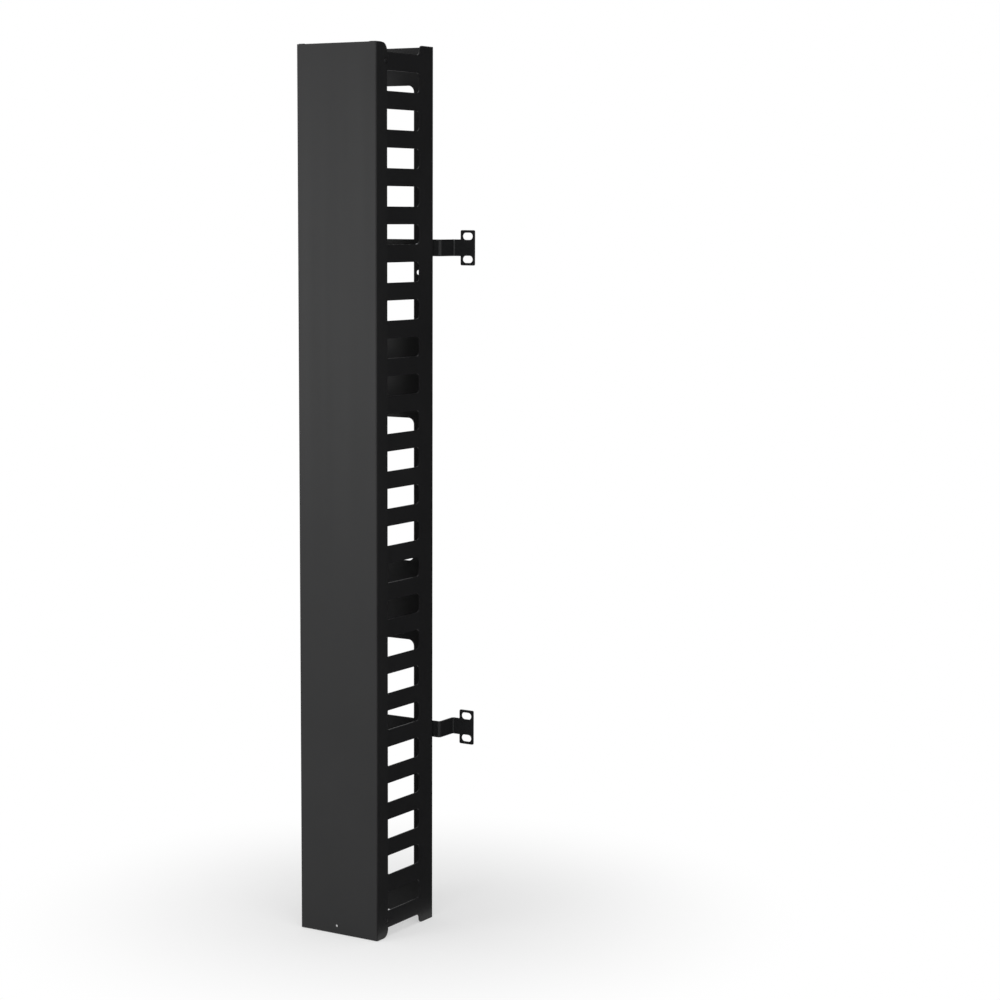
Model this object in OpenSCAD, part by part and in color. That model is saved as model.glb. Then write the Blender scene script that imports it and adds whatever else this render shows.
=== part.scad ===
// Vertical cable manager: a tall folded steel channel with cable slots down
// both side walls, a lift-off front cover and two jogged rack brackets.
// X is the width, with the rack on the +X side. Y is the depth, with the cover
// at -Y. Z is up. The origin is the centre of the lower end of the back panel,
// on its rear face.

/* [Channel] */
// Distance between neighbouring side slots
slot_pitch = 50.8; // [45:0.1:60]
// Number of whole slots in each side wall
slot_count = 23; // [15:1:35]
// Gap left at each end so that stacked managers keep the slot pitch
end_trim = 0.6; // [0:0.1:2]
// Width across the outside of the side walls
channel_w = 126; // [110:0.2:180]
// Depth from the front lips to the rear face of the back panel
channel_d = 139.8; // [110:0.2:200]
// Thickness of the channel's steel sheet
sheet = 1.5; // [1:0.1:2.5]
// Inner radius of the channel's folds
fold_r = 1; // [0.5:0.1:3]
// Width of the lips that turn inwards at the front
lip_w = 10; // [8:0.5:16]

/* [Side slots] */
// Height of a side slot
slot_h = 27; // [20:0.5:36]
// Strip of side wall in front of the slots
front_strip_w = 18.5; // [14:0.5:25]
// Strip of side wall behind the slots
rear_strip_w = 34.9; // [25:0.1:45]
// Radius of the slots' corners
slot_corner_r = 6.3; // [3:0.1:9]
// Radius of the corners that stand beside the open slots at each end
tab_corner_r = 6; // [3:0.1:9]

/* [Back windows] */
// Width of the back strip on each side of the windows
back_strip_w = 31.5; // [29:0.1:40]
// Height of the middle window
middle_window_h = 201; // [120:1:260]
// Height of the solid bands between the windows
band_h = 112.5; // [60:0.5:130]
// Height of the solid band at each end
end_band_h = 51.2; // [30:0.2:80]
// Radius of the windows' corners
window_corner_r = 9; // [3:0.5:15]

/* [Cover] */
// Thickness of the cover's steel sheet
cover_sheet = 1.2; // [0.8:0.1:2]
// Inner radius of the cover's folds
cover_fold_r = 0.8; // [0.5:0.1:2.5]
// Running clearance between the cover and the channel
cover_gap = 0.3; // [0.2:0.05:0.6]
// Depth of the cover's side flanges, from its front face
flange_d = 26.4; // [24:0.2:40]
// Radius of the flanges' rear corners
flange_corner_r = 11; // [4:0.5:16]
// Distance that the cover stops short of each end of the channel
cover_end_gap = 0.6; // [0:0.1:3]
// Diameter of the hanging hole near the cover's lower end
hang_hole_d = 3.4; // [2:0.1:6]
// Height of the hanging hole above the cover's lower end
hang_hole_z = 11; // [6:0.5:20]
// Sideways offset of the hanging hole from the centre line
hang_hole_x = -4; // [-20:0.5:20]

/* [Cover studs] */
// Diameter of the domed studs that the cover locates on
stud_d = 7; // [5:0.2:8]
// Height of a stud's head over the side wall
stud_proud = 2; // [1.6:0.1:3]
// Height of the straight rim under a stud's dome
stud_rim_h = 1; // [0.4:0.1:1.4]
// Diameter of a stud's shank, which is riveted through the wall
stud_shank_d = 4; // [2.4:0.1:4.4]
// Diameter of a stud's riveted tail inside the wall
stud_tail_d = 6.2; // [5:0.1:7]
// Thickness of a stud's riveted tail
stud_tail_h = 0.8; // [0.5:0.1:1.2]
// Distance from the cover flange's rear edge to the studs' centre line
stud_inset = 3; // [0:0.2:4]
// Clearance round a stud in its notch
notch_gap = 0.8; // [0.3:0.05:1.2]

/* [Brackets] */
// Thickness of the brackets' steel
bracket_sheet = 2; // [1.5:0.1:3]
// Inner radius of the brackets' folds
bracket_fold_r = 2; // [1.5:0.1:3]
// Height of the strap that crosses the back
strap_h = 23; // [20:0.5:32]
// Distance from each end of the channel to the middle of its bracket
bracket_inset = 272.1; // [180:0.1:300]
// Distance that the strap's far end stays inside the channel's left side
strap_end_inset = 2.4; // [0:0.1:10]
// Distance from the channel's side to the outer face of the bracket's leg
arm_reach = 11.4; // [8:0.1:30]
// Distance from the back panel to the ear's mounting face
jog_d = 36.1; // [20:0.1:60]
// Length of the neck between the leg's outer face and the ear
neck_l = 10.9; // [8:0.1:25]
// Width of the ear
ear_w = 22.8; // [20:0.1:32]
// Height of the ear
ear_h = 48.6; // [46:0.2:60]
// Radius of the ear's corners
ear_corner_r = 2; // [1:0.1:4]
// Vertical distance between the ear's two slots, two rack hole steps
ear_slot_spacing = 31.75; // [28:0.05:34]
// Length of an ear slot
ear_slot_l = 16.4; // [10:0.1:17]
// Height of an ear slot
ear_slot_h = 9.8; // [6:0.1:10]

/* [Fasteners] */
// Thread diameter of the bracket screws
screw_d = 6; // [5:0.5:6]
// Diameter of the clearance holes for the bracket screws
screw_hole_d = 6.6; // [6.2:0.1:7]
// Distance from the channel's side to the line of screw holes
screw_inset = 24.2; // [18:0.1:24.5]
// Distance from the upper bracket's middle down to the two spare holes
spare_hole_drop = 34; // [25:0.1:50]
// Diameter of the screws' pan heads
head_d = 12; // [10:0.5:13]
// Height of the screws' pan heads
head_h = 3.6; // [2.5:0.1:4.2]
// Height of the crown on top of a pan head
head_crown_h = 1.9; // [1:0.1:2.2]
// Length of the heads' cross recess
recess_l = 6; // [4:0.2:7]
// Width of the cross recess
recess_w = 1.3; // [1:0.1:1.8]
// Depth of the cross recess
recess_d = 2.2; // [1:0.1:2.4]
// Width of the nuts across their flats
nut_af = 10; // [8:0.5:11]
// Height of the nuts over their flange
nut_h = 4.6; // [3.5:0.1:6]
// Diameter of the nuts' flange
nut_flange_d = 13; // [11.5:0.5:14]
// Thickness of the nuts' flange
nut_flange_h = 1.4; // [1:0.1:2]
// Length of screw that stands out behind the nut
screw_tail = 2; // [0.5:0.1:5]

/* [Hidden] */

$fn = 48;
// Overshoot of a cutting tool past the face that it cuts
cut = 1;
// Radial clearance of a shank in the hole that it is riveted or screwed through
shank_gap = 0.05;

length = (slot_count + 1) * slot_pitch - 2 * end_trim;
outer_r = fold_r + sheet;
slot_l = channel_d - front_strip_w - rear_strip_w;
slot_y = -(rear_strip_w + slot_l / 2);
window_w = channel_w - 2 * back_strip_w;
end_window_h = (length - middle_window_h) / 2 - band_h - end_band_h;
end_window_z = end_band_h + end_window_h / 2;

cover_w = channel_w + 2 * (cover_gap + cover_sheet);
cover_outer_r = cover_fold_r + cover_sheet;
cover_l = length - 2 * cover_end_gap;
front_y = -(channel_d + cover_gap + cover_sheet);
flange_rear_y = front_y + flange_d;

stud_y = flange_rear_y - stud_inset;
stud_z = slot_pitch / 2 - end_trim;

screw_x = channel_w / 2 - screw_inset;
leg_x = channel_w / 2 + arm_reach;
ear_x = leg_x + neck_l;

// Radius of the sphere whose cap has this diameter and height
function cap_radius(d, h) = (pow(d / 2, 2) + pow(h, 2)) / (2 * h);

// A flat shape in Y and Z, made a plate that runs from x towards +X
module side_plate(x, thickness) {
    translate([x, 0, 0])
        rotate([90, 0, 90])
            linear_extrude(thickness)
                children();
}

// A flat shape in X and Z, made a plate that runs from y towards +Y
module back_plate(y, thickness) {
    translate([0, y + thickness, 0])
        rotate([90, 0, 0])
            linear_extrude(thickness)
                children();
}

// A rectangle with round corners, centred on the origin
module round_rect(w, h, r) {
    square([w - 2 * r, h], center = true);
    square([w, h - 2 * r], center = true);
    for (x = [-1, 1], y = [-1, 1])
        translate([x * (w / 2 - r), y * (h / 2 - r)])
            circle(r);
}

// A slot with half-round ends, centred on the origin
module long_slot(l, h) {
    square([l - h, h], center = true);
    for (x = [-1, 1])
        translate([x * (l - h) / 2, 0])
            circle(h / 2);
}

// The waste that leaves a convex corner of radius r at the origin, with the
// part lying towards +X and +Y
module corner_waste(r) {
    difference() {
        translate([-cut, -cut])
            square(r + cut);
        translate([r, r])
            circle(r);
    }
}

// A quarter of a folded sheet in plan, with the fold's centre at the origin and
// the metal towards +X and +Y
module fold(r, thickness) {
    intersection() {
        difference() {
            circle(r + thickness);
            circle(r);
        }
        square(r + thickness);
    }
}

// Both ends of the channel, mirrored about its middle
module at_both_ends() {
    children();
    translate([0, 0, length])
        mirror([0, 0, 1])
            children();
}

// Section of the right side wall, from the fold at the back to the front lip
module side_wall_section() {
    x = channel_w / 2 - outer_r;
    translate([x, -outer_r])
        fold(fold_r, sheet);
    translate([channel_w / 2 - sheet, outer_r - channel_d])
        square([sheet, channel_d - 2 * outer_r]);
    translate([x, outer_r - channel_d])
        mirror([0, 1])
            fold(fold_r, sheet);
    translate([channel_w / 2 - lip_w, -channel_d])
        square([lip_w - outer_r, sheet]);
}

// The slots of a side wall, seen from the side. The first and the last are cut
// open by the ends of the channel, and the tabs beside them have round corners.
module side_wall_slots() {
    for (i = [0 : slot_count + 1])
        translate([slot_y, i * slot_pitch - end_trim])
            round_rect(slot_l, slot_h, slot_corner_r);
    for (up = [0, 1])
        translate([0, up * length])
            mirror([0, up])
                for (side = [-1, 1])
                    translate([slot_y + side * slot_l / 2, 0])
                        mirror([side < 0 ? 1 : 0, 0])
                            corner_waste(tab_corner_r);
}

module side_wall() {
    difference() {
        linear_extrude(length)
            side_wall_section();
        side_plate(channel_w / 2 - sheet - cut, sheet + 2 * cut)
            side_wall_slots();
        at_both_ends()
            translate([channel_w / 2, stud_y, stud_z])
                rotate([0, 90, 0])
                    cylinder(d = stud_shank_d + 2 * shank_gap, h = 2 * (sheet + cut), center = true);
    }
}

module right_side_wall() {
    color("#2a2a2c")
        side_wall();
}

module left_side_wall() {
    color("#2a2a2c")
        mirror([1, 0, 0])
            side_wall();
}

// The screw holes on both back strips at one height
module screw_holes(z) {
    for (side = [-1, 1])
        translate([side * screw_x, 0, z])
            rotate([90, 0, 0])
                cylinder(d = screw_hole_d, h = 2 * (sheet + cut), center = true);
}

module back_panel() {
    color("#2a2a2c")
        difference() {
            back_plate(-sheet, sheet)
                difference() {
                    translate([outer_r - channel_w / 2, 0])
                        square([channel_w - 2 * outer_r, length]);
                    translate([0, length / 2])
                        round_rect(window_w, middle_window_h, window_corner_r);
                    for (z = [end_window_z, length - end_window_z])
                        translate([0, z])
                            round_rect(window_w, end_window_h, window_corner_r);
                }
            at_both_ends()
                screw_holes(bracket_inset);
            screw_holes(length - bracket_inset - spare_hole_drop);
        }
}

// Section of the cover, seen from above
module cover_section() {
    x = cover_w / 2 - cover_outer_r;
    translate([-x, front_y])
        square([2 * x, cover_sheet]);
    for (side = [0, 1])
        mirror([side, 0]) {
            translate([x, front_y + cover_outer_r])
                mirror([0, 1])
                    fold(cover_fold_r, cover_sheet);
            translate([cover_w / 2 - cover_sheet, front_y + cover_outer_r])
                square([cover_sheet, flange_d - cover_outer_r]);
        }
}

// What is cut from the cover's flanges at its lower end, seen from the side:
// the rear corner, and the notch that is open to the rear over a stud
module flange_cuts() {
    notch_r = stud_d / 2 + notch_gap;
    translate([flange_rear_y, cover_end_gap])
        mirror([1, 0])
            corner_waste(flange_corner_r);
    translate([stud_y, stud_z])
        circle(notch_r);
    translate([stud_y, stud_z - notch_r])
        square([stud_inset + cut, 2 * notch_r]);
}

module front_cover() {
    color("#4c4c4e")
        difference() {
            translate([0, 0, cover_end_gap])
                linear_extrude(cover_l)
                    cover_section();
            at_both_ends()
                side_plate(-cover_w / 2 - cut, cover_w + 2 * cut)
                    flange_cuts();
            translate([hang_hole_x, front_y, cover_end_gap + hang_hole_z])
                rotate([90, 0, 0])
                    cylinder(d = hang_hole_d, h = 2 * (cover_sheet + cut), center = true);
        }
}

// A stud riveted through the right side wall: a domed head outside, a shank
// and a flat head inside
module cover_stud() {
    dome_r = cap_radius(stud_d, stud_proud - stud_rim_h);
    translate([channel_w / 2, stud_y, stud_z])
        rotate([0, 90, 0]) {
            intersection() {
                cylinder(d = stud_d, h = stud_proud);
                translate([0, 0, stud_proud - dome_r])
                    sphere(dome_r, $fn = 96);
            }
            translate([0, 0, -sheet])
                cylinder(d = stud_shank_d, h = sheet);
            translate([0, 0, -sheet - stud_tail_h])
                cylinder(d = stud_tail_d, h = stud_tail_h);
        }
}

module right_cover_studs() {
    color("#2a2a2c")
        at_both_ends()
            cover_stud();
}

module left_cover_studs() {
    color("#2a2a2c")
        mirror([1, 0, 0])
            at_both_ends()
                cover_stud();
}

// Section of a bracket, seen from above: strap, leg and neck with two folds
module bracket_section() {
    bracket_outer_r = bracket_fold_r + bracket_sheet;
    strap_x = strap_end_inset - channel_w / 2;
    leg_end_y = jog_d - bracket_outer_r;
    translate([strap_x, 0])
        square([leg_x - bracket_outer_r - strap_x, bracket_sheet]);
    translate([leg_x - bracket_outer_r, bracket_outer_r])
        mirror([0, 1])
            fold(bracket_fold_r, bracket_sheet);
    translate([leg_x - bracket_sheet, bracket_outer_r])
        square([bracket_sheet, leg_end_y - bracket_outer_r]);
    translate([leg_x + bracket_fold_r, leg_end_y])
        mirror([1, 0])
            fold(bracket_fold_r, bracket_sheet);
    translate([leg_x + bracket_fold_r, jog_d - bracket_sheet])
        square([neck_l - bracket_fold_r + cut, bracket_sheet]);
}

// A bracket whose middle is at this height
module bracket(z) {
    translate([0, 0, z])
        difference() {
            union() {
                translate([0, 0, -strap_h / 2])
                    linear_extrude(strap_h)
                        bracket_section();
                back_plate(jog_d - bracket_sheet, bracket_sheet)
                    translate([ear_x + ear_w / 2, 0])
                        round_rect(ear_w, ear_h, ear_corner_r);
            }
            back_plate(jog_d - bracket_sheet - cut, bracket_sheet + 2 * cut)
                for (up = [-1, 1])
                    translate([ear_x + ear_w / 2, up * ear_slot_spacing / 2])
                        long_slot(ear_slot_l, ear_slot_h);
            for (side = [-1, 1])
                translate([side * screw_x, bracket_sheet / 2, 0])
                    rotate([90, 0, 0])
                        cylinder(d = screw_hole_d, h = bracket_sheet + 2 * cut, center = true);
        }
}

module upper_bracket() {
    color("#1c1c1e")
        bracket(length - bracket_inset);
}

module lower_bracket() {
    color("#1c1c1e")
        bracket(bracket_inset);
}

// A pan-head screw along +Y, with its head's seat at the origin
module pan_screw(grip) {
    crown_r = cap_radius(head_d, head_crown_h);
    rotate([-90, 0, 0]) {
        cylinder(d = screw_d, h = grip);
        difference() {
            intersection() {
                translate([0, 0, -head_h])
                    cylinder(d = head_d, h = head_h);
                translate([0, 0, crown_r - head_h])
                    sphere(crown_r, $fn = 96);
            }
            for (turn = [0, 90])
                rotate([0, 0, turn])
                    translate([-recess_l / 2, -recess_w / 2, -head_h - cut])
                        cube([recess_l, recess_w, recess_d + cut]);
        }
    }
}

// The two screws of a bracket, put in from inside the channel
module bracket_screws(z) {
    grip = sheet + bracket_sheet + nut_flange_h + nut_h + screw_tail;
    for (side = [-1, 1])
        translate([side * screw_x, -sheet, z])
            pan_screw(grip);
}

module upper_bracket_screws() {
    color("#9a9a9c")
        bracket_screws(length - bracket_inset);
}

module lower_bracket_screws() {
    color("#9a9a9c")
        bracket_screws(bracket_inset);
}

// A flanged hexagon nut along +Y, with its seat at the origin
module flange_nut() {
    across_corners = nut_af / cos(30);
    rotate([-90, 0, 0])
        difference() {
            union() {
                cylinder(d = nut_flange_d, h = nut_flange_h);
                intersection() {
                    cylinder(d = across_corners, h = nut_flange_h + nut_h, $fn = 6);
                    cylinder(d1 = across_corners + 2 * (nut_flange_h + nut_h), d2 = nut_af,
                             h = nut_flange_h + nut_h);
                }
            }
            translate([0, 0, -cut])
                cylinder(d = screw_d + 2 * shank_gap, h = nut_flange_h + nut_h + 2 * cut);
        }
}

// The two nuts of a bracket, on the rear face of its strap
module bracket_nuts(z) {
    for (side = [-1, 1])
        translate([side * screw_x, bracket_sheet, z])
            flange_nut();
}

module upper_bracket_nuts() {
    color("#9a9a9c")
        bracket_nuts(length - bracket_inset);
}

module lower_bracket_nuts() {
    color("#9a9a9c")
        bracket_nuts(bracket_inset);
}

back_panel();
left_side_wall();
right_side_wall();
front_cover();
left_cover_studs();
right_cover_studs();
upper_bracket();
lower_bracket();
upper_bracket_screws();
lower_bracket_screws();
upper_bracket_nuts();
lower_bracket_nuts();
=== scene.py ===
"""Looks of a vertical cable manager: coated sheet steel with softened edges,
plated fasteners, and a plain studio stage. Lengths are in metres."""

import math

import bmesh
import bpy
from bpy.props import FloatProperty, FloatVectorProperty, PointerProperty
from mathutils import Matrix, Vector

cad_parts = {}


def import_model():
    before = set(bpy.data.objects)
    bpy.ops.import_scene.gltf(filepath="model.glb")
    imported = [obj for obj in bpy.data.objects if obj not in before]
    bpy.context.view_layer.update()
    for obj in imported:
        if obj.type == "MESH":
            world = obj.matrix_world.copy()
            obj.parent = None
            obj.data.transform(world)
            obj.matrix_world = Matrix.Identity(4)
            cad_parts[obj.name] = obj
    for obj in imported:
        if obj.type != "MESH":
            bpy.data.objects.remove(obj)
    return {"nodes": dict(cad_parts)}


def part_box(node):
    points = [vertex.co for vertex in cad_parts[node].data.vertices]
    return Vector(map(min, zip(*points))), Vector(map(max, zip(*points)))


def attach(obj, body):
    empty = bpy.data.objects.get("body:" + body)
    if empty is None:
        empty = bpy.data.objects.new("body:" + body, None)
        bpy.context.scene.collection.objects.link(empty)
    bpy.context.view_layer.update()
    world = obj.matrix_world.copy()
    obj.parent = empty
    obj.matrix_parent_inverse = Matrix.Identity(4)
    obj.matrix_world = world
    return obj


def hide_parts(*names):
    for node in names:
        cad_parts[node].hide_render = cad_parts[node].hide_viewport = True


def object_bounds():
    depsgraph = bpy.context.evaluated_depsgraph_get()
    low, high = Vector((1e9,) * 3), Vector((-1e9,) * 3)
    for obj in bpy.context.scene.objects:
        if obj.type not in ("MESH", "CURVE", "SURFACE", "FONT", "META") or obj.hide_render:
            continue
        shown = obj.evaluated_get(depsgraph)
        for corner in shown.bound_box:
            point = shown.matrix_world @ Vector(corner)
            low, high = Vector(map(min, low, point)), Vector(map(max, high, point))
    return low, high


bl_info = {
    "name": "Vertical Cable Manager",
    "version": (1, 0, 0),
    "blender": (4, 5, 0),
    "location": "3D View > Sidebar > Cable manager",
    "description": "Finishes the pieces of a vertical cable manager and builds its stage",
    "category": "Object",
}

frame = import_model()
cad_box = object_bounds()

CHANNEL_NODES = ("back_panel", "left_side_wall", "right_side_wall")
BRACKET_NODES = ("upper_bracket", "lower_bracket")
STUD_NODES = ("left_cover_studs", "right_cover_studs")
SCREW_NODES = ("upper_bracket_screws", "lower_bracket_screws")
NUT_NODES = ("upper_bracket_nuts", "lower_bracket_nuts")

# Points closer than this are one point
MERGE_DISTANCE = 1e-6
# Faces that meet at less than this angle lie in one plane
FLAT_ANGLE = math.radians(0.6)
# Edges sharper than this are corners of the sheet
CORNER_ANGLE = math.radians(35)

# How much lighter and darker than its colour a coat is in places
COAT_TONE_RANGE = 0.18
# How much the roughness of a coat changes in places
COAT_ROUGHNESS_RANGE = 0.03
# How much the lines from rolling add to that on the cover
COVER_STREAKS = 0.012
# Share of the light that a coat reflects at its surface, where 0.5 is usual
COAT_GLOSS = 0.25
# Number of grains across one wave of a coat, and their height against the wave's
GRAINS_PER_WAVE = 5
GRAIN_HEIGHT = 0.25
# Changes in a metre: of a coat's tone, and of the lines from rolling along X, Y and Z
TONE_SCALE = 9.0
STREAK_SCALE = (34.0, 34.0, 0.55)
# Noise stays mostly between these values
NOISE_LOW = 0.3
NOISE_HIGH = 0.7

# Handling marks in a metre of zinc plate
MARK_SCALE = 260.0
# How far the plate's roughness falls and rises in the marks
MARK_POLISH = 0.1
MARK_DULLING = 0.14

# Width of the camera's sensor in millimetres
SENSOR_WIDTH = 36

# Lamps that the camera doesn't see: place, aim, width, height and power in watts
LAMPS = {
    "key": ((-1.0, -2.1, 0.85), (0, -0.14, 0.75), 0.9, 0.9, 8.5),
    "fold": ((0.3, -2.6, 0.7), (0.06, -0.14, 0.7), 0.25, 1.6, 4),
    "fill": ((2.6, -1.4, 1.5), (0, -0.07, 0.7), 1.6, 1.6, 8),
    "top": ((0.1, -0.6, 3.0), (0, 0, 0.5), 1.8, 1.8, 32),
}
# Black cards that only reflections see: place, aim, width and height
BLACK_CARDS = {
    "right_card": ((1.0, 1.3, 1.2), (0.06, -0.07, 0.7), 2.8, 3.0),
    "floor_card": ((1.28, 0.9, 0.002), (1.28, 0.9, 1.0), 2.4, 2.6),
}

# Half the width of the floor, and how far it lies below the object
FLOOR_HALF_WIDTH = 20.0
FLOOR_GAP = 0.0002
# Distances from the object's foot between which the floor turns white
SHADOW_NEAR = 0.1
SHADOW_FAR = 0.6
# How white the floor already is at the object's foot
FOOT_WHITENESS = 0.5

PURE_WHITE = (1.0, 1.0, 1.0, 1.0)
CARD_BLACK = (0.01, 0.01, 0.01, 1.0)


class CoatSettings(bpy.types.PropertyGroup):
    """Finish of the coated sheet"""

    channel_colour: FloatVectorProperty(
        name="Channel colour",
        description="Colour of the coat on the channel",
        subtype="COLOR",
        size=3,
        min=0,
        max=1,
        default=(0.0145, 0.0145, 0.0152),
    )
    # Painted light: the cover has the same coat as the channel, but this colour is a little lighter
    # to paint in the front light
    cover_colour_painted_light: FloatVectorProperty(
        name="Cover colour",
        description="Colour of the coat on the front cover",
        subtype="COLOR",
        size=3,
        min=0,
        max=1,
        default=(0.0165, 0.0165, 0.017),
    )
    # Painted shade: the brackets have the same coat as the channel, but this colour is a little
    # darker to paint in the shade they stand in
    bracket_colour_painted_shade: FloatVectorProperty(
        name="Bracket colour",
        description="Colour of the coat on the brackets",
        subtype="COLOR",
        size=3,
        min=0,
        max=1,
        default=(0.0125, 0.0128, 0.0135),
    )
    roughness: FloatProperty(
        name="Roughness",
        description="Roughness of the coat's surface",
        min=0,
        max=1,
        default=0.42,
    )
    peel_size: FloatProperty(
        name="Peel size",
        description="Width of the small waves that the coat dries with",
        subtype="DISTANCE",
        unit="LENGTH",
        min=0.0002,
        max=0.01,
        default=0.0016,
    )
    peel_height: FloatProperty(
        name="Peel height",
        description="Height of the coat's small waves",
        subtype="DISTANCE",
        unit="LENGTH",
        min=0,
        max=0.0002,
        default=0.000012,
    )
    edge_width: FloatProperty(
        name="Edge width",
        description="Width of the rounding that the coat gives the sheet's cut edges",
        subtype="DISTANCE",
        unit="LENGTH",
        min=0.0001,
        max=0.0006,
        default=0.00035,
    )


class FastenerSettings(bpy.types.PropertyGroup):
    """Finish of the plated fasteners"""

    plate_colour: FloatVectorProperty(
        name="Plate colour",
        description="Colour of the zinc plate",
        subtype="COLOR",
        size=3,
        min=0,
        max=1,
        default=(0.52, 0.53, 0.55),
    )
    roughness: FloatProperty(
        name="Roughness",
        description="Roughness of the zinc plate",
        min=0,
        max=1,
        default=0.34,
    )


class StageSettings(bpy.types.PropertyGroup):
    """Camera, lamps and floor"""

    camera_place: FloatVectorProperty(
        name="Camera place",
        description="Where the camera stands",
        subtype="TRANSLATION",
        size=3,
        default=(1.8951, -2.8041, 0.9933),
    )
    camera_aim: FloatVectorProperty(
        name="Camera aim",
        description="Point that the camera looks at",
        subtype="TRANSLATION",
        size=3,
        default=(0.2151, -0.07, 0.6134),
    )
    camera_roll: FloatProperty(
        name="Camera roll",
        description="Turn of the camera about its own axis",
        subtype="ANGLE",
        default=math.radians(0.245),
    )
    lens: FloatProperty(
        name="Lens",
        description="Focal length of the lens in millimetres, for a sensor 36 mm wide",
        min=20,
        max=200,
        default=87.147,
    )
    ambient: FloatProperty(
        name="Ambient",
        description="Strength of the light that comes from all round",
        min=0,
        max=2,
        default=0.4,
    )
    floor_colour: FloatVectorProperty(
        name="Floor colour",
        description="Colour of the floor",
        subtype="COLOR",
        size=3,
        min=0,
        max=1,
        default=(0.9, 0.9, 0.9),
    )


def material(name):
    """A new material with an empty node tree, and that tree."""
    made = bpy.data.materials.new(name)
    made.use_nodes = True
    made.node_tree.nodes.clear()
    return made, made.node_tree


def node(tree, kind, **values):
    """A shader node with these values on its sockets or properties."""
    made = tree.nodes.new(kind)
    for key, value in values.items():
        if key in made.inputs:
            made.inputs[key].default_value = value
        else:
            setattr(made, key, value)
    return made


def to_surface(tree, shader):
    """Sends a shader's socket to the material's surface."""
    output = node(tree, "ShaderNodeOutputMaterial")
    tree.links.new(shader, output.inputs["Surface"])


def coat(name, colour, streaks=0.0):
    """Satin powder coat: small waves from baking, a finer grain, and slow changes
    of tone. Streaks is how strongly the sheet's rolling lines show through."""
    settings = bpy.context.scene.cable_manager_coat
    made, tree = material(name)
    link = tree.links.new
    place = node(tree, "ShaderNodeTexCoord")
    peel = node(tree, "ShaderNodeTexNoise", Scale=1 / settings.peel_size, Detail=2.0, Roughness=0.45)
    grain = node(tree, "ShaderNodeTexNoise", Scale=GRAINS_PER_WAVE / settings.peel_size, Detail=1.0)
    tone = node(tree, "ShaderNodeTexNoise", Scale=TONE_SCALE, Detail=3.0, Roughness=0.6)
    stretch = node(tree, "ShaderNodeMapping", Scale=STREAK_SCALE)
    lines = node(tree, "ShaderNodeTexNoise", Scale=1.0, Detail=3.0, Roughness=0.55)
    for texture in (peel, grain, tone):
        link(place.outputs["Object"], texture.inputs["Vector"])
    link(place.outputs["Object"], stretch.inputs["Vector"])
    link(stretch.outputs["Vector"], lines.inputs["Vector"])

    waves = node(tree, "ShaderNodeBump", Strength=1.0, Distance=settings.peel_height)
    link(peel.outputs["Fac"], waves.inputs["Height"])
    fine = node(tree, "ShaderNodeBump", Strength=0.5, Distance=settings.peel_height * GRAIN_HEIGHT)
    link(grain.outputs["Fac"], fine.inputs["Height"])
    link(waves.outputs["Normal"], fine.inputs["Normal"])

    light = [min(1.0, channel * (1 + COAT_TONE_RANGE)) for channel in colour]
    dark = [channel * (1 - COAT_TONE_RANGE) for channel in colour]
    shade = node(tree, "ShaderNodeMix", data_type="RGBA")
    shade.inputs["A"].default_value = (*dark, 1.0)
    shade.inputs["B"].default_value = (*light, 1.0)
    link(tone.outputs["Fac"], shade.inputs["Factor"])

    rough = node(tree, "ShaderNodeMapRange")
    rough.inputs["From Min"].default_value = NOISE_LOW
    rough.inputs["From Max"].default_value = NOISE_HIGH
    spread = COAT_ROUGHNESS_RANGE + streaks
    rough.inputs["To Min"].default_value = settings.roughness - spread
    rough.inputs["To Max"].default_value = settings.roughness + spread
    link((lines if streaks else tone).outputs["Fac"], rough.inputs["Value"])

    shader = node(tree, "ShaderNodeBsdfPrincipled")
    shader.inputs["Specular IOR Level"].default_value = COAT_GLOSS
    link(shade.outputs["Result"], shader.inputs["Base Color"])
    link(rough.outputs["Result"], shader.inputs["Roughness"])
    link(fine.outputs["Normal"], shader.inputs["Normal"])
    to_surface(tree, shader.outputs["BSDF"])
    return made


def zinc_plate():
    """Bright zinc plate with faint handling marks."""
    settings = bpy.context.scene.cable_manager_fasteners
    made, tree = material("zinc_plate")
    link = tree.links.new
    place = node(tree, "ShaderNodeTexCoord")
    cloud = node(tree, "ShaderNodeTexNoise", Scale=MARK_SCALE, Detail=3.0)
    link(place.outputs["Object"], cloud.inputs["Vector"])
    rough = node(tree, "ShaderNodeMapRange")
    rough.inputs["To Min"].default_value = settings.roughness - MARK_POLISH
    rough.inputs["To Max"].default_value = settings.roughness + MARK_DULLING
    link(cloud.outputs["Fac"], rough.inputs["Value"])
    shader = node(tree, "ShaderNodeBsdfPrincipled", Metallic=1.0)
    shader.inputs["Base Color"].default_value = (*settings.plate_colour, 1.0)
    link(rough.outputs["Result"], shader.inputs["Roughness"])
    to_surface(tree, shader.outputs["BSDF"])
    return made


def add_object(name, data):
    """A new object in the scene."""
    made = bpy.data.objects.new(name, data)
    bpy.context.scene.collection.objects.link(made)
    return made


def add_shape(name, shape):
    """A new object in the scene with the mesh of this shape, which is freed."""
    mesh = bpy.data.meshes.new(name)
    shape.to_mesh(mesh)
    shape.free()
    return add_object(name, mesh)


def dress(piece, finish):
    """Gives a piece one finish all over."""
    piece.data.materials.clear()
    piece.data.materials.append(finish)


def soften(piece, width):
    """Rounds a piece's corners by this width and shades its flat faces flat."""
    bevel = piece.modifiers.new("soft edges", "BEVEL")
    bevel.width = width
    bevel.segments = 2
    bevel.limit_method = "ANGLE"
    bevel.angle_limit = CORNER_ANGLE
    normals = piece.modifiers.new("flat faces", "WEIGHTED_NORMAL")
    normals.keep_sharp = False


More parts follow.
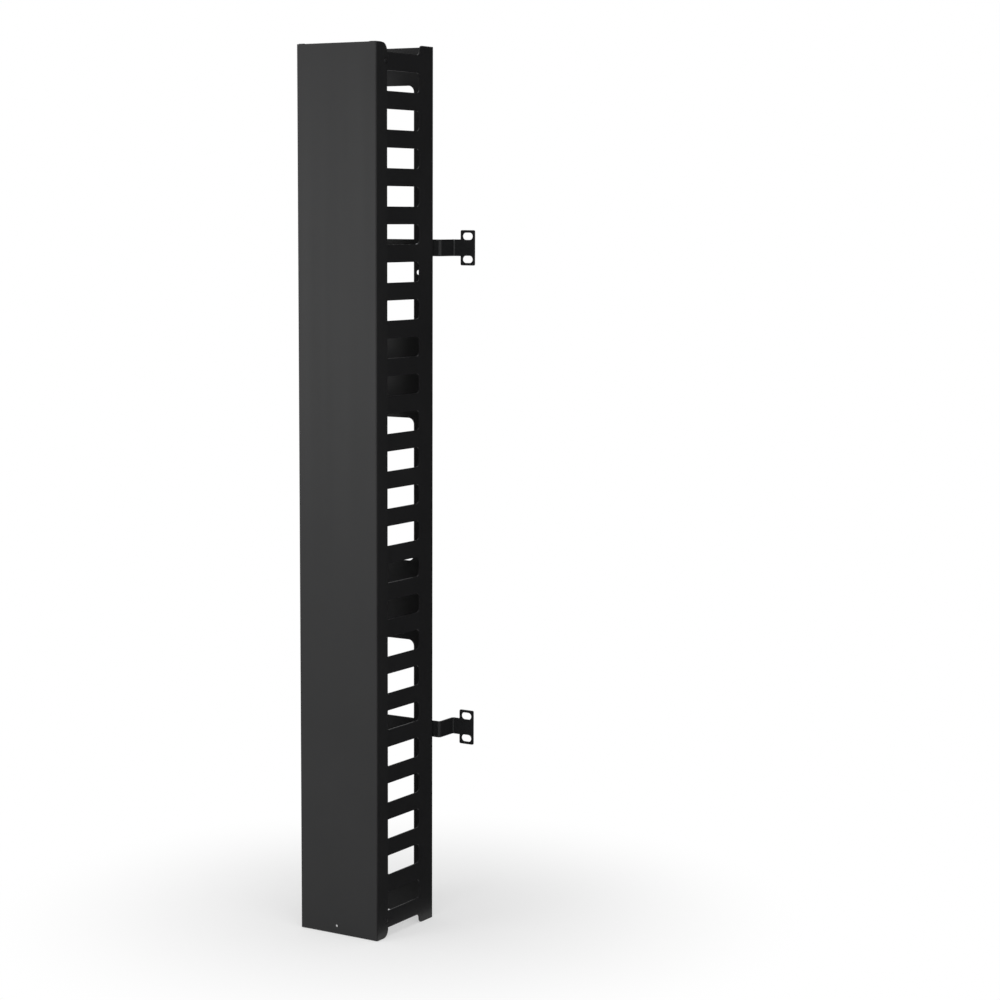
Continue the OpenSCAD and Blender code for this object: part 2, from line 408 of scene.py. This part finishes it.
def merge_and_soften(piece, width):
    """Softens a CAD node's corners by modifiers, with its own mesh as it was."""
    weld = piece.modifiers.new("merge", "WELD")
    weld.merge_threshold = MERGE_DISTANCE
    planes = piece.modifiers.new("planes", "DECIMATE")
    planes.decimate_type = "DISSOLVE"
    planes.angle_limit = FLAT_ANGLE
    soften(piece, width)


class CABLEMANAGER_OT_channel(bpy.types.Operator):
    """Makes the channel one folded sheet with softened edges"""

    bl_idname = "cable_manager.channel"
    bl_label = "Channel"

    def execute(self, context):
        settings = context.scene.cable_manager_coat
        seam_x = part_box("back_panel")[1].x
        sheet = bmesh.new()
        for name in CHANNEL_NODES:
            sheet.from_mesh(frame["nodes"][name].data)
        bmesh.ops.remove_doubles(sheet, verts=sheet.verts, dist=MERGE_DISTANCE)
        inner = [
            face
            for face in sheet.faces
            if all(abs(abs(vert.co.x) - seam_x) < 2 * MERGE_DISTANCE for vert in face.verts)
        ]
        if not inner:
            raise RuntimeError("the channel's three parts don't meet")
        bmesh.ops.delete(sheet, geom=inner, context="FACES_ONLY")
        bmesh.ops.dissolve_limit(
            sheet,
            angle_limit=FLAT_ANGLE,
            verts=sheet.verts,
            edges=sheet.edges,
        )
        for face in sheet.faces:
            face.smooth = True
        piece = add_shape("channel_sheet", sheet)
        soften(piece, settings.edge_width)
        dress(piece, coat("channel_coat", settings.channel_colour))
        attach(piece, "channel")
        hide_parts(*CHANNEL_NODES)
        return {"FINISHED"}


class CABLEMANAGER_OT_cover(bpy.types.Operator):
    """Coats the front cover a little lighter than the channel, as painted light, and softens its
    edges
    """

    bl_idname = "cable_manager.cover"
    bl_label = "Front cover"

    def execute(self, context):
        settings = context.scene.cable_manager_coat
        cover = frame["nodes"]["front_cover"]
        merge_and_soften(cover, settings.edge_width)
        # Painted light: the cover's colour is lighter than the channel's, though it is the same coat
        dress(cover, coat("cover_coat", settings.cover_colour_painted_light, streaks=COVER_STREAKS))
        return {"FINISHED"}


class CABLEMANAGER_OT_brackets(bpy.types.Operator):
    """Coats the two rack brackets a little darker than the channel, as painted shade, and softens
    their edges
    """

    bl_idname = "cable_manager.brackets"
    bl_label = "Brackets"

    def execute(self, context):
        settings = context.scene.cable_manager_coat
        # Painted shade: the brackets' colour is darker than the channel's, though it is the same
        # coat
        finish = coat("bracket_coat", settings.bracket_colour_painted_shade)
        for name in BRACKET_NODES:
            bracket = frame["nodes"][name]
            merge_and_soften(bracket, settings.edge_width)
            dress(bracket, finish)
        return {"FINISHED"}


class CABLEMANAGER_OT_studs(bpy.types.Operator):
    """Coats the studs that the cover locates on"""

    bl_idname = "cable_manager.studs"
    bl_label = "Cover studs"

    def execute(self, context):
        settings = context.scene.cable_manager_coat
        finish = coat("stud_coat", settings.channel_colour)
        for name in STUD_NODES:
            dress(frame["nodes"][name], finish)
        return {"FINISHED"}


class CABLEMANAGER_OT_fasteners(bpy.types.Operator):
    """Plates the bracket screws and nuts"""

    bl_idname = "cable_manager.fasteners"
    bl_label = "Fasteners"

    def execute(self, context):
        finish = zinc_plate()
        for name in SCREW_NODES + NUT_NODES:
            dress(frame["nodes"][name], finish)
        return {"FINISHED"}


def aimed(place, aim, axis="-Z"):
    """The transform that stands at a place and points this axis at the aim."""
    place = Vector(place)
    turn = (Vector(aim) - place).to_track_quat(axis, "Y").to_matrix().to_4x4()
    return Matrix.Translation(place) @ turn


def camera(settings):
    """The camera, with its roll about the line of sight."""
    data = bpy.data.cameras.new("camera")
    data.lens = settings.lens
    data.sensor_width = SENSOR_WIDTH
    made = add_object("camera", data)
    roll = Matrix.Rotation(settings.camera_roll, 4, "Z")
    made.matrix_world = aimed(settings.camera_place, settings.camera_aim) @ roll
    bpy.context.scene.camera = made


def softbox(name, place, aim, width, height, power):
    """A soft rectangular lamp that the camera doesn't see."""
    data = bpy.data.lights.new(name, "AREA")
    data.shape = "RECTANGLE"
    data.size = width
    data.size_y = height
    data.energy = power
    made = add_object(name, data)
    made.matrix_world = aimed(place, aim)
    made.visible_camera = False


def black_card(name, place, aim, width, height):
    """A black card that only reflections see. It keeps the dark coat dark."""
    card = bmesh.new()
    bmesh.ops.create_grid(card, x_segments=1, y_segments=1, size=0.5)
    size = Matrix.Diagonal((width, height, 1, 1))
    bmesh.ops.transform(card, matrix=aimed(place, aim, axis="Z") @ size, verts=card.verts)
    made = add_shape(name, card)
    finish, tree = material(name)
    matt = node(tree, "ShaderNodeBsdfDiffuse", Color=CARD_BLACK)
    to_surface(tree, matt.outputs["BSDF"])
    dress(made, finish)
    made.visible_camera = False
    made.visible_diffuse = False
    made.visible_shadow = False
    made.visible_transmission = False


def backdrop_rays(tree):
    """Light paths that see the white background: camera, glossy and transmission."""
    path = node(tree, "ShaderNodeLightPath")
    either = node(tree, "ShaderNodeMath", operation="MAXIMUM")
    tree.links.new(path.outputs["Is Camera Ray"], either.inputs[0])
    tree.links.new(path.outputs["Is Glossy Ray"], either.inputs[1])
    both = node(tree, "ShaderNodeMath", operation="MAXIMUM")
    tree.links.new(either.outputs["Value"], both.inputs[0])
    tree.links.new(path.outputs["Is Transmission Ray"], both.inputs[1])
    return both.outputs["Value"]


def world(settings):
    """White where it is seen, and a soft grey light from all round."""
    made = bpy.data.worlds.new("studio")
    made.use_nodes = True
    tree = made.node_tree
    tree.nodes.clear()
    strength = node(tree, "ShaderNodeMapRange")
    strength.inputs["To Min"].default_value = settings.ambient
    strength.inputs["To Max"].default_value = 1.0
    tree.links.new(backdrop_rays(tree), strength.inputs["Value"])
    light = node(tree, "ShaderNodeBackground", Color=PURE_WHITE)
    tree.links.new(strength.outputs["Result"], light.inputs["Strength"])
    output = node(tree, "ShaderNodeOutputWorld")
    tree.links.new(light.outputs["Background"], output.inputs["Surface"])
    bpy.context.scene.world = made


def floor(settings):
    """A pale floor that keeps the shadow near the object and fades into white."""
    sheet = bmesh.new()
    bmesh.ops.create_grid(sheet, x_segments=1, y_segments=1, size=FLOOR_HALF_WIDTH)
    bmesh.ops.translate(sheet, verts=sheet.verts, vec=(0, 0, cad_box[0].z - FLOOR_GAP))
    made = add_shape("floor", sheet)
    finish, tree = material("pale_floor")
    link = tree.links.new
    place = node(tree, "ShaderNodeTexCoord")
    distance = node(tree, "ShaderNodeVectorMath", operation="LENGTH")
    link(place.outputs["Object"], distance.inputs[0])
    fade = node(tree, "ShaderNodeMapRange")
    fade.inputs["From Min"].default_value = SHADOW_NEAR
    fade.inputs["From Max"].default_value = SHADOW_FAR
    fade.inputs["To Min"].default_value = FOOT_WHITENESS
    fade.interpolation_type = "SMOOTHSTEP"
    link(distance.outputs["Value"], fade.inputs["Value"])
    matt = node(tree, "ShaderNodeBsdfDiffuse", Color=(*settings.floor_colour, 1.0))
    white = node(tree, "ShaderNodeEmission", Color=PURE_WHITE, Strength=1.0)
    seen = node(tree, "ShaderNodeMath", operation="MULTIPLY")
    link(fade.outputs["Result"], seen.inputs[0])
    link(backdrop_rays(tree), seen.inputs[1])
    mix = node(tree, "ShaderNodeMixShader")
    link(seen.outputs["Value"], mix.inputs["Fac"])
    link(matt.outputs["BSDF"], mix.inputs[1])
    link(white.outputs["Emission"], mix.inputs[2])
    to_surface(tree, mix.outputs["Shader"])
    dress(made, finish)


class CABLEMANAGER_OT_stage(bpy.types.Operator):
    """Places the camera, the lamps, the floor and the background"""

    bl_idname = "cable_manager.stage"
    bl_label = "Stage"

    def execute(self, context):
        settings = context.scene.cable_manager_stage
        camera(settings)
        for name, lamp in LAMPS.items():
            softbox(name, *lamp)
        for name, card in BLACK_CARDS.items():
            black_card(name, *card)
        world(settings)
        floor(settings)
        context.scene.view_settings.view_transform = "Standard"
        return {"FINISHED"}


class CABLEMANAGER_PT_panel(bpy.types.Panel):
    """Lists the cable manager's pieces"""

    bl_label = "Cable manager"
    bl_idname = "CABLEMANAGER_PT_panel"
    bl_space_type = "VIEW_3D"
    bl_region_type = "UI"
    bl_category = "Cable manager"

    def draw(self, context):
        for operator in OPERATORS:
            self.layout.operator(operator.bl_idname)


OPERATORS = (
    CABLEMANAGER_OT_channel,
    CABLEMANAGER_OT_cover,
    CABLEMANAGER_OT_brackets,
    CABLEMANAGER_OT_studs,
    CABLEMANAGER_OT_fasteners,
    CABLEMANAGER_OT_stage,
)
SETTINGS = {
    "cable_manager_coat": CoatSettings,
    "cable_manager_fasteners": FastenerSettings,
    "cable_manager_stage": StageSettings,
}
CLASSES = (*SETTINGS.values(), *OPERATORS, CABLEMANAGER_PT_panel)


def register():
    for cls in CLASSES:
        bpy.utils.register_class(cls)
    for name, group in SETTINGS.items():
        setattr(bpy.types.Scene, name, PointerProperty(type=group))


def unregister():
    for name in SETTINGS:
        delattr(bpy.types.Scene, name)
    for cls in reversed(CLASSES):
        bpy.utils.unregister_class(cls)


def main():
    register()
    bpy.ops.cable_manager.channel()
    bpy.ops.cable_manager.cover()
    bpy.ops.cable_manager.brackets()
    bpy.ops.cable_manager.studs()
    bpy.ops.cable_manager.fasteners()
    bpy.ops.cable_manager.stage()


if __name__ == "__main__":
    main()
